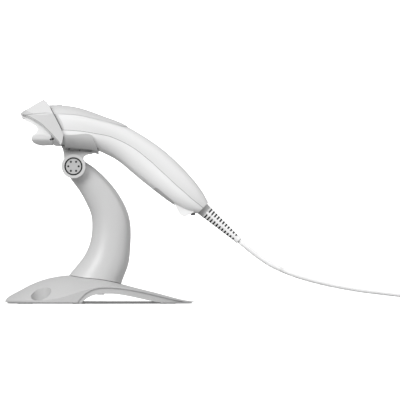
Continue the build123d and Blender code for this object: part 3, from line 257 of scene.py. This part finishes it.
def window_mat():
    m, t, b = new_mat("red_filter", (0.30, 0.006, 0.010), 0.06, 0.0, 0.6)
    n, l = t.nodes, t.links
    tc = n.new("ShaderNodeTexCoord")
    no = n.new("ShaderNodeTexNoise")
    no.inputs["Scale"].default_value = 60
    l.new(tc.outputs["Object"], no.inputs["Vector"])
    mr = n.new("ShaderNodeMapRange")
    mr.inputs["To Min"].default_value, mr.inputs["To Max"].default_value = 0.04, 0.11
    l.new(no.outputs["Fac"], mr.inputs["Value"])
    l.new(mr.outputs["Result"], b.inputs["Roughness"])
    b.inputs["Transmission Weight"].default_value = 0.45
    b.inputs["IOR"].default_value = 1.49
    return m


MAT["window_red"] = window_mat()
SLOT = {s["node"]: s["material_slot"] for s in frame["record"]["subparts"]}


def weld(o):
    w = o.modifiers.new("weld", "WELD")
    w.merge_threshold = 0.000004
    return w


def soften(name, voxel=0.0006, rounds=6, factor=0.5):
    """Moulded pieces have no knife edges: rebuild the skin evenly and relax it a little."""
    o = NODES[name]
    weld(o)
    r = o.modifiers.new("skin", "REMESH")
    r.mode = "VOXEL"
    r.voxel_size = voxel
    r.use_smooth_shade = True
    m = o.modifiers.new("relax", "SMOOTH")
    m.factor, m.iterations = factor, rounds
    return o


def edge_round(name, width=0.0003, deg=35, segments=2):
    o = NODES[name]
    weld(o)
    m = o.modifiers.new("edge", "BEVEL")
    m.width, m.segments, m.limit_method = width, segments, "ANGLE"
    m.angle_limit = math.radians(deg)
    m.harden_normals = False
    return o


for name, o in NODES.items():
    o.data.materials.clear()
    o.data.materials.append(MAT[SLOT[name]])



def shade_faces(name, material, test):
    """Give the faces of a node that pass a test (centre, normal) a second material."""
    o = NODES[name]
    if material.name not in [m.name for m in o.data.materials]:
        o.data.materials.append(material)
    k = [m.name for m in o.data.materials].index(material.name)
    n = 0
    for p in o.data.polygons:
        if test(p.center, p.normal):
            p.material_index = k
            n += 1
    print("shaded", name, n)


# painted shade: deep, narrow places (the boot's slots, the cap's holes and ring groove, the cradle's side slots) get
# near-black colours that stand in for the shade inside them
MAT["recess"] = mottled("recess_shade", (0.030, 0.030, 0.031), 0.75, bump=0.15, vary=0.12)
MAT["slot_floor"] = mottled("slot_shade", (0.070, 0.070, 0.072), 0.70, bump=0.15, vary=0.12)
MAT["cap_grey"] = mottled("cap_plastic", (0.46, 0.46, 0.46), 0.44, bump=0.16, vary=0.015)
MAT["label_grey"] = mottled("label_plastic", (0.58, 0.58, 0.58), 0.50, bump=0.12, vary=0.02)
MAT["boot_collar"] = mottled("boot_collar_painted_shadow", (0.40, 0.40, 0.40), 0.50, bump=0.1, vary=0.02)
MAT["plug_grey"] = mottled("heel_plug_rubber", (0.13, 0.13, 0.13), 0.60, bump=0.15, vary=0.05)
MAT["feet_grey"] = mottled("feet_rubber", (0.62, 0.62, 0.62), 0.68, bump=0.3, vary=0.05)


def graded(name, axis, lo, hi, stops, rough=0.5):
    """Plastic whose tone changes along one axis of the piece: painted shade laid in by position."""
    m = mottled(name, (0.5, 0.5, 0.5), rough, bump=0.15, vary=0.02)
    t = m.node_tree
    n, l = t.nodes, t.links
    b = n["Principled BSDF"]
    tc = [k for k in n if k.bl_idname == "ShaderNodeTexCoord"][0]
    sep = n.new("ShaderNodeSeparateXYZ")
    l.new(tc.outputs["Object"], sep.inputs["Vector"])
    mr = n.new("ShaderNodeMapRange")
    mr.inputs["From Min"].default_value, mr.inputs["From Max"].default_value = lo, hi
    l.new(sep.outputs[axis], mr.inputs["Value"])
    ramp = n.new("ShaderNodeValToRGB")
    ramp.color_ramp.elements[0].position = stops[0][0]
    ramp.color_ramp.elements[0].color = (*[stops[0][1]] * 3, 1)
    ramp.color_ramp.elements[1].position = stops[-1][0]
    ramp.color_ramp.elements[1].color = (*[stops[-1][1]] * 3, 1)
    for (at, g) in stops[1:-1]:
        e = ramp.color_ramp.elements.new(at)
        e.color = (g, g, g, 1)
    l.new(mr.outputs["Result"], ramp.inputs["Fac"])
    l.new(ramp.outputs["Color"], b.inputs["Base Color"])
    return m


# painted shade: the cradle's web under the tray darkens towards the tray, for the tray's shadow; its front end stays
# mid grey
MAT["web_shade"] = graded("web_shade", "Z", 0.1440, 0.1520, [(0.0, 0.50), (0.35, 0.30), (0.62, 0.13), (0.74, 0.06), (1.0, 0.05)])
web = MAT["web_shade"].node_tree
web_ramp = web.nodes["Principled BSDF"].inputs["Base Color"].links[0].from_socket
web_sep = [k for k in web.nodes if k.bl_idname == "ShaderNodeSeparateXYZ"][0]
web_side = web.nodes.new("ShaderNodeMapRange")
web_side.inputs["From Min"].default_value, web_side.inputs["From Max"].default_value = -0.0346, -0.0330
web.links.new(web_sep.outputs["X"], web_side.inputs["Value"])
web_mix = web.nodes.new("ShaderNodeMix")
web_mix.data_type = "RGBA"
web_mix.inputs["A"].default_value = (0.36, 0.36, 0.36, 1)
web.links.new(web_side.outputs["Result"], web_mix.inputs["Factor"])
web.links.new(web_ramp, web_mix.inputs["B"])
web.links.new(web_mix.outputs["Result"], web.nodes["Principled BSDF"].inputs["Base Color"])
# painted shade and light: the base plate's side edges are dark grey where they show through the arch and light grey at
# the ends, for the shade under the base
MAT["plate_edge_painted_shade"] = graded("plate_edge_painted_shade", "X", -0.0180, 0.0600, [(0.0, 0.80), (0.03, 0.22), (0.97, 0.22), (1.0, 0.80)])
PIVOT = Vector((-0.0255, 0, 0.1331))


def from_pivot(c):
    return math.hypot(c.x - PIVOT.x, c.z - PIVOT.z)


def in_cap_hole(c, n):
    a = round(math.degrees(math.atan2(c.z - PIVOT.z, c.x - PIVOT.x)) / 60) * math.pi / 3
    d = math.hypot(c.x - PIVOT.x - 0.00505 * math.cos(a), c.z - PIVOT.z - 0.00505 * math.sin(a))
    return d < 0.00089 and abs(c.y) < 0.02066


for cap in ("pivot_cap_left", "pivot_cap_right"):
    NODES[cap].data.materials.clear()
    NODES[cap].data.materials.append(MAT["cap_grey"])
    shade_faces(cap, MAT["recess"], in_cap_hole)
    shade_faces(cap, MAT["recess"], lambda c, n: from_pivot(c) > 0.0073 and abs(n.y) < 0.5)
shade_faces("cradle", MAT["recess"], lambda c, n: from_pivot(c) < 0.00862 and 0.0140 < abs(c.y) < 0.02092)
shade_faces("cradle", MAT["web_shade"], lambda c, n: abs(abs(c.y) - 0.017) < 0.00025 and abs(n.y) > 0.8)
shade_faces("base_plate", MAT["plate_edge_painted_shade"], lambda c, n: abs(n.z) < 0.5)
for name, slot in (("grip_label_pad", "label_grey"), ("heel_plug", "plug_grey"), ("base_feet", "feet_grey")):
    NODES[name].data.materials.clear()
    NODES[name].data.materials.append(MAT[slot])
HOOD_REAR = [(-0.0516, 0.1954), (-0.0485, 0.1910), (-0.0466, 0.1870), (-0.0441, 0.1827), (-0.0417, 0.1780),
             (-0.0388, 0.1723), (-0.0364, 0.1672), (-0.0349, 0.1632)]


# painted shade: the collar of the trim, a strip beside the hood's rear edge, is darkened for the shadow the hood casts
# on it; the rest keeps the trim's tone
collar = MAT["trim_grey"].node_tree
cn, cl = collar.nodes, collar.links
trim_tone = cn["Principled BSDF"].inputs["Base Color"].links[0].from_socket
trim_tc = [k for k in cn if k.bl_idname == "ShaderNodeTexCoord"][0]
along = cn.new("ShaderNodeVectorMath")
along.operation = "DOT_PRODUCT"
along.inputs[1].default_value = (1.0, 0.0, 0.4916)
cl.new(trim_tc.outputs["Object"], along.inputs[0])
strip = cn.new("ShaderNodeMapRange")
strip.inputs["From Min"].default_value, strip.inputs["From Max"].default_value = 0.04755, 0.04785
cl.new(along.outputs["Value"], strip.inputs["Value"])
trim_sep = cn.new("ShaderNodeSeparateXYZ")
cl.new(trim_tc.outputs["Object"], trim_sep.inputs["Vector"])
above = cn.new("ShaderNodeMapRange")
above.inputs["From Min"].default_value, above.inputs["From Max"].default_value = 0.1832, 0.1838
cl.new(trim_sep.outputs["Z"], above.inputs["Value"])
either = cn.new("ShaderNodeMath")
either.operation = "MAXIMUM"
cl.new(strip.outputs["Result"], either.inputs[0])
cl.new(above.outputs["Result"], either.inputs[1])
tone = cn.new("ShaderNodeMix")
tone.data_type = "RGBA"
tone.inputs["A"].default_value = (0.42, 0.42, 0.42, 1)
cl.new(either.outputs["Value"], tone.inputs["Factor"])
cl.new(trim_tone, tone.inputs["B"])
cl.new(tone.outputs["Result"], cn["Principled BSDF"].inputs["Base Color"])
BOOT_AT, BOOT_DIR = Vector((0.0986, 0, 0.0929)), Vector((math.cos(math.radians(41.2)), 0, -math.sin(math.radians(41.2))))


def in_boot_slot(c, n):
    d = c - BOOT_AT
    s = d.dot(BOOT_DIR)
    if not 0.0072 < s < 0.0448:
        return False
    r = (d - BOOT_DIR * s).length
    outer = 0.0067 + (0.0032 - 0.0067) * s / 0.048
    return 0.00253 < r < outer - 0.00012


# painted shadow: the boot's collar next to the housing's end is darkened for the shadow the housing casts on it
shade_faces("cable_boot", MAT["boot_collar"], lambda c, n: (c - BOOT_AT).dot(BOOT_DIR) < 0.0066)
shade_faces("cable_boot", MAT["recess"], in_boot_slot)

# ------------------------------------------------------------------ fine lines on the skin
MAT["joint_shade"] = mottled("joint_shade", (0.055, 0.055, 0.056), 0.70, bump=0.1, vary=0.10)
MAT["edge_shade"] = mottled("edge_shade", (0.30, 0.30, 0.30), 0.60, bump=0.1, vary=0.04)
SEAM = [(-0.0481, 0.1680), (-0.0378, 0.1682), (-0.0243, 0.1676), (-0.0146, 0.1665), (-0.0049, 0.1649), (0.0074, 0.1626),
        (0.0148, 0.1600), (0.0222, 0.1567), (0.0297, 0.1526), (0.0372, 0.1477), (0.0445, 0.1418), (0.0520, 0.1355),
        (0.0594, 0.1284), (0.0668, 0.1217), (0.0742, 0.1147), (0.0817, 0.1083), (0.0890, 0.1017), (0.1001, 0.0929)]


def skin(*names):
    """One search tree over several pieces as they stand at rest."""
    verts, faces = [], []
    for name in names:
        o = NODES[name]
        k = len(verts)
        verts += [o.matrix_world @ v.co for v in o.data.vertices]
        faces += [[k + i for i in q.vertices] for q in o.data.polygons]
    return BVHTree.FromPolygons(verts, faces)


def smooth_route(pts, step=0.0005):
    """Even points along a smooth curve through side view points (Catmull-Rom)."""
    q = [Vector(p) for p in pts]
    q = [q[0] * 2 - q[1]] + q + [q[-1] * 2 - q[-2]]
    fine = []
    for i in range(1, len(q) - 2):
        for k in range(24):
            t = k / 24
            a, b, c, d = q[i - 1], q[i], q[i + 1], q[i + 2]
            fine.append(0.5 * ((2 * b) + (c - a) * t + (2 * a - 5 * b + 4 * c - d) * t * t
                               + (3 * b - a - 3 * c + d) * t * t * t))
    fine.append(q[-2])
    out = [fine[0]]
    for p in fine[1:]:
        if (p - out[-1]).length >= step:
            out.append(p)
    return out


def drawn_line(name, tree, route, width, body, material, side, lift=0.00004, ends=0.0, facing=0.30):
    """A thin line drawn from the side on the skin of the pieces in a tree; side -1 is the near side."""
    hits = []
    for (x, z) in smooth_route(route):
        h = tree.ray_cast(Vector((x, side * 0.12, z)), Vector((0, -side, 0)))
        if h[0] is not None and h[0].y * side > 0.0 and abs(h[1].y) > facing:
            n = h[1] if h[1].y * side > 0 else -h[1]
            hits.append((h[0], n))
    verts, faces = [], []
    last = len(hits) - 1
    for i, (p, n) in enumerate(hits):
        t = (hits[min(last, i + 1)][0] - hits[max(0, i - 1)][0]).normalized()
        across = t.cross(n).normalized()
        w = width * (1.0 if ends == 0.0 else min(1.0, 0.25 + min(i, last - i) / (ends * last)))
        for f in (-0.5, 0.5):
            q = p + across * (w * f)
            g = tree.ray_cast(q + n * 0.002, -n)
            q = g[0] if g[0] is not None and (g[0] - q).length < 0.0008 else q
            verts.append(tuple(q + n * lift))
    for i in range(last):
        # a jump between two places on the skin isn't bridged
        if (Vector(verts[2 * i]) - Vector(verts[2 * i + 2])).length < 0.004:
            faces.append((2 * i, 2 * i + 1, 2 * i + 3, 2 * i + 2))
    o = mesh_object(name, verts, faces, True)
    o.data.materials.append(material)
    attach(o, body)
    return o


def drawn_patch(name, tree, at, size, lean, body, material, side, lift=0.00005, rings=5, around=32):
    """A small oval laid on the skin, seen from the side."""
    verts, faces = [], []
    pts = [(0.0, 0.0)] + [(size[0] / 2 * r / rings * math.cos(2 * math.pi * k / around),
                           size[1] / 2 * r / rings * math.sin(2 * math.pi * k / around))
                          for r in range(1, rings + 1) for k in range(around)]
    for (u, v) in pts:
        x = at[0] + u * math.cos(lean) - v * math.sin(lean)
        z = at[1] + u * math.sin(lean) + v * math.cos(lean)
        h = tree.ray_cast(Vector((x, side * 0.12, z)), Vector((0, -side, 0)))
        if h[0] is None:
            return None
        n = h[1] if h[1].y * side > 0 else -h[1]
        verts.append(tuple(h[0] + n * lift))
    for k in range(around):
        faces.append((0, 1 + k, 1 + (k + 1) % around))
    for r in range(rings - 1):
        for k in range(around):
            q = (k + 1) % around
            faces.append((1 + r * around + k, 1 + (r + 1) * around + k, 1 + (r + 1) * around + q, 1 + r * around + q))
    o = mesh_object(name, verts, faces, True)
    o.data.materials.append(material)
    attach(o, body)
    return o


HOUSING = skin("upper_housing", "lower_housing")
HEAD = skin("upper_housing", "lower_housing", "window_block", "nose_hood", "top_trim")
for side, word in ((-1, "near"), (1, "far")):
    drawn_line("housing_joint_" + word, HOUSING, SEAM, 0.00030, "scanner", MAT["joint_shade"], side)
    # painted shade: a dark oval laid on the chin's skin on each side stands in for the shade inside the slot there
    drawn_patch("chin_slot_shade_" + word, HEAD, (-0.0463, 0.1593), (0.0044, 0.0020), math.radians(12), "scanner",
                MAT["slot_floor"], side)

MAT["crease_shade"] = mottled("crease_shade", (0.34, 0.34, 0.34), 0.50, bump=0.1, vary=0.03)
MAT["brow_shade"] = mottled("brow_shade", (0.11, 0.11, 0.11), 0.60, bump=0.1, vary=0.05)
HOOD = skin("nose_hood")
BEHIND = skin("upper_housing", "top_trim", "lower_housing")
NECK, BASE = skin("neck_left", "neck_right"), skin("base_cover")
MOUTH = [(-0.0764, 0.1831), (-0.0737, 0.1830), (-0.0688, 0.1815), (-0.0626, 0.1785), (-0.0564, 0.1744), (-0.0527, 0.1710),
         (-0.0490, 0.1673), (-0.0452, 0.1634), (-0.0415, 0.1593), (-0.0385, 0.1557)]


def meeting(front, back, x0, x1, steps, high, low, side):
    """Where, seen from the side, one skin gives way to the other below it."""
    out = []
    for k in range(steps + 1):
        x = x0 + (x1 - x0) * k / steps
        z = high
        while z > low:
            a = front.ray_cast(Vector((x, side * 0.12, z)), Vector((0, -side, 0)))
            b = back.ray_cast(Vector((x, side * 0.12, z)), Vector((0, -side, 0)))
            if b[0] is not None and (a[0] is None or b[0].y * side > a[0].y * side):
                if a[0] is not None or out:
                    out.append((x, z + 0.00028))
                break
            z -= 0.0001
    return out


def rings(name, places, r0, r1, y, body, material, around=40):
    """Flat rings lying on an upright face."""
    verts, faces = [], []
    for (x, z) in places:
        k0 = len(verts)
        for r in (r0, r1):
            verts += [(x + r * math.cos(2 * math.pi * k / around), y, z + r * math.sin(2 * math.pi * k / around))
                      for k in range(around)]
        for k in range(around):
            q = (k + 1) % around
            faces.append((k0 + k, k0 + around + k, k0 + around + q, k0 + q))
    o = mesh_object(name, verts, faces)
    o.data.materials.append(material)
    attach(o, body)
    return o


CAP_HOLES = [(PIVOT.x + 0.00505 * math.cos(math.radians(60 * k)), PIVOT.z + 0.00505 * math.sin(math.radians(60 * k)))
             for k in range(6)]
for side, word in ((-1, "near"), (1, "far")):
    # painted shade: thin near-black rings laid round the cap's holes and the ear's groove widen the dark shade in them
    rings("cap_hole_shade_rings_" + word, CAP_HOLES, 0.00084, 0.00104, side * 0.02073, "cradle", MAT["recess"])
    rings("ear_groove_shade_ring_" + word, [(PIVOT.x, PIVOT.z)], 0.00848, 0.00880, side * 0.02103, "cradle", MAT["recess"], 72)
    drawn_line("hood_crease_" + word, HOOD, [(-0.0755, 0.1824), (-0.0679, 0.1833), (-0.0582, 0.1842), (-0.0520, 0.1846),
                                            (-0.0462, 0.1845)], 0.00060, "scanner", MAT["crease_shade"], side, ends=0.3)
    drawn_line("hood_lip_" + word, HOOD, MOUTH, 0.00065, "scanner", MAT["crease_shade"], side)
    drawn_line("hood_tip_" + word, HOOD, [(-0.0766, 0.1830), (-0.0748, 0.1829), (-0.0715, 0.1821)], 0.00090, "scanner",
               MAT["brow_shade"], side, ends=0.4, facing=0.42)
    # painted shadow: a dark line on the trim and housing just behind the hood's rear edge, for the narrow gap there and
    # the hood's shadow across it
    drawn_line("hood_gap_shadow_" + word, BEHIND, [(x + 0.00030, z) for (x, z) in HOOD_REAR[1:-1]], 0.00060, "scanner",
               MAT["joint_shade"], side)
    line = meeting(NECK, BASE, -0.0335, 0.0205, 60, 0.045, 0.014, side)
    print("neck foot", side, len(line), line[:1], line[-1:])
    if len(line) > 8:
        drawn_line("neck_foot_" + word, NECK, line, 0.00050, "stand", MAT["joint_shade"], side)

# ------------------------------------------------------------------ the lead
R = 0.0025
CORD_Z = 0.0026
A0 = math.radians(41.2)
EXIT = Vector((0.0986 + 0.048 * math.cos(A0), 0, 0.0929 - 0.048 * math.sin(A0)))
ROUTE = [tuple(EXIT), (0.1538, 0, 0.0446), (0.179, 0, 0.0310), (0.210, 0, 0.0214), (0.247, 0, 0.0140),
         (0.284, 0, 0.0096), (0.313, 0, 0.0064), (0.336, 0.011, CORD_Z), (0.345, 0.033, CORD_Z),
         (0.345, 0.054, CORD_Z)]


def nurbs_line(name, pts, bevel=0.0, res=10):
    cu = D.curves.new(name, "CURVE")
    cu.dimensions = "3D"
    cu.resolution_u = res
    cu.use_fill_caps = True
    sp = cu.splines.new("NURBS")
    sp.points.add(len(pts) - 1)
    for p, q in zip(sp.points, pts):
        p.co = (*q, 1)
    sp.order_u = 3
    sp.use_endpoint_u = True
    cu.bevel_depth = bevel
    cu.bevel_resolution = 6
    o = D.objects.new(name, cu)
    bpy.context.scene.collection.objects.link(o)
    return o


def line_points(pts, res=12):
    """Points along the smooth line through a route, as Blender evaluates it."""
    o = nurbs_line("measure", pts, 0.0, res)
    bpy.context.view_layer.update()
    me = D.meshes.new_from_object(o)
    out = [Vector(v.co) for v in me.vertices]
    D.objects.remove(o)
    return out


# coil: three flat layers of three turns, each turn a cord apart from the next, stepping over late in the turn
COIL_C = Vector((0.379, 0.094))
TURNS = [(0.0342, 0.0026), (0.0286, 0.0026), (0.0230, 0.0026),
         (0.0212, 0.0073), (0.0266, 0.0073), (0.0322, 0.0073),
         (0.0342, 0.0120), (0.0288, 0.0120), (0.0234, 0.0120)]


def coil_points(per=14):
    # enters at the left of the ring heading +Y, so it winds clockwise seen from above
    pts = []
    rng = random.Random(4)
    for i, (r0, z0) in enumerate(TURNS):
        r1, z1 = TURNS[i + 1] if i + 1 < len(TURNS) else (r0, z0)
        for k in range(per):
            f = k / per
            s = min(1.0, max(0.0, (f - 0.5) / 0.5))
            s = s * s * (3 - 2 * s)
            wob = 1 + rng.uniform(-0.005, 0.005)
            r = (r0 + s * (r1 - r0)) * wob
            a = math.pi - 2 * math.pi * f
            pts.append((COIL_C.x + r * math.cos(a), COIL_C.y + r * math.sin(a), z0 + s * (z1 - z0)))
    return pts


def tube_mesh(name, line, radius, sides=16, caps=(True, True)):
    """Round tube along the points of a line, with a steady frame so that it doesn't twist."""
    verts, faces = [], []
    t0 = (line[1] - line[0]).normalized()
    side = t0.orthogonal().normalized()
    for i, p in enumerate(line):
        a, b = line[max(0, i - 1)], line[min(len(line) - 1, i + 1)]
        t = (b - a).normalized()
        side = (side - t * side.dot(t)).normalized()
        up = t.cross(side)
        for k in range(sides):
            w = 2 * math.pi * k / sides
            verts.append(p + (side * math.cos(w) + up * math.sin(w)) * radius)
    n = len(line)
    for i in range(n - 1):
        for k in range(sides):
            q = (k + 1) % sides
            faces.append((i * sides + k, i * sides + q, (i + 1) * sides + q, (i + 1) * sides + k))
    if caps[0]:
        faces.append(tuple(range(sides))[::-1])
    if caps[1]:
        faces.append(tuple((n - 1) * sides + k for k in range(sides)))
    o = mesh_object(name, [tuple(v) for v in verts], faces, True)
    return o


def thin_out(line, gap):
    out = [line[0]]
    for p in line[1:-1]:
        if (p - out[-1]).length >= gap:
            out.append(p)
    if (line[-1] - out[-1]).length < gap * 0.4 and len(out) > 2:
        out.pop()
    out.append(line[-1])
    return out


PLUG_MOUTH = (0.413, 0.072, CORD_Z)
# half a turn more over the top, out past the rest, and down to the plug's grip
LAST = []
for k in range(1, 8):
    f = k / 7
    r = 0.0234 + (0.0352 - 0.0234) * (f * f * (3 - 2 * f))
    a = math.pi * (1 - f)
    LAST.append((COIL_C.x + r * math.cos(a), COIL_C.y + r * math.sin(a), 0.0120 if f < 0.8 else 0.0110))
FULL = ROUTE[:-1] + [(0.3450, 0.054, CORD_Z), (0.3449, 0.074, CORD_Z)] + coil_points() + LAST[:-1] + [
    (0.4146, 0.0960, 0.0104), (0.4142, 0.0880, 0.0060), (0.4132, 0.0790, 0.0027), PLUG_MOUTH]
LINE = line_points(FULL, 8)
cut = min(range(len(LINE)), key=lambda i: abs(LINE[i].x - 0.176) if LINE[i].x < 0.25 else 9)
UP = LINE[:cut + 1]
LOW = thin_out(LINE[cut:], 0.0016)


def run_length(line):
    return sum((b - a).length for a, b in zip(line, line[1:]))


print("lead: upper", round(run_length(UP), 4), "lower", round(run_length(LOW), 4), "points", len(UP), len(LOW))
# the first few millimetres lie inside the boot's end ring
cord_upper = tube_mesh("lead_near_boot", UP, R, caps=(True, False))
cord_lower = tube_mesh("lead", LOW, R, caps=(False, True))
for o in (cord_upper, cord_lower):
    o.data.materials.append(MAT["cord_white"])
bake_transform(cord_upper)
# below the joint the lead gives way to the fixed coil along the floor
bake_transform(cord_lower)
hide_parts("cord_tube")
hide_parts("cord_coil")
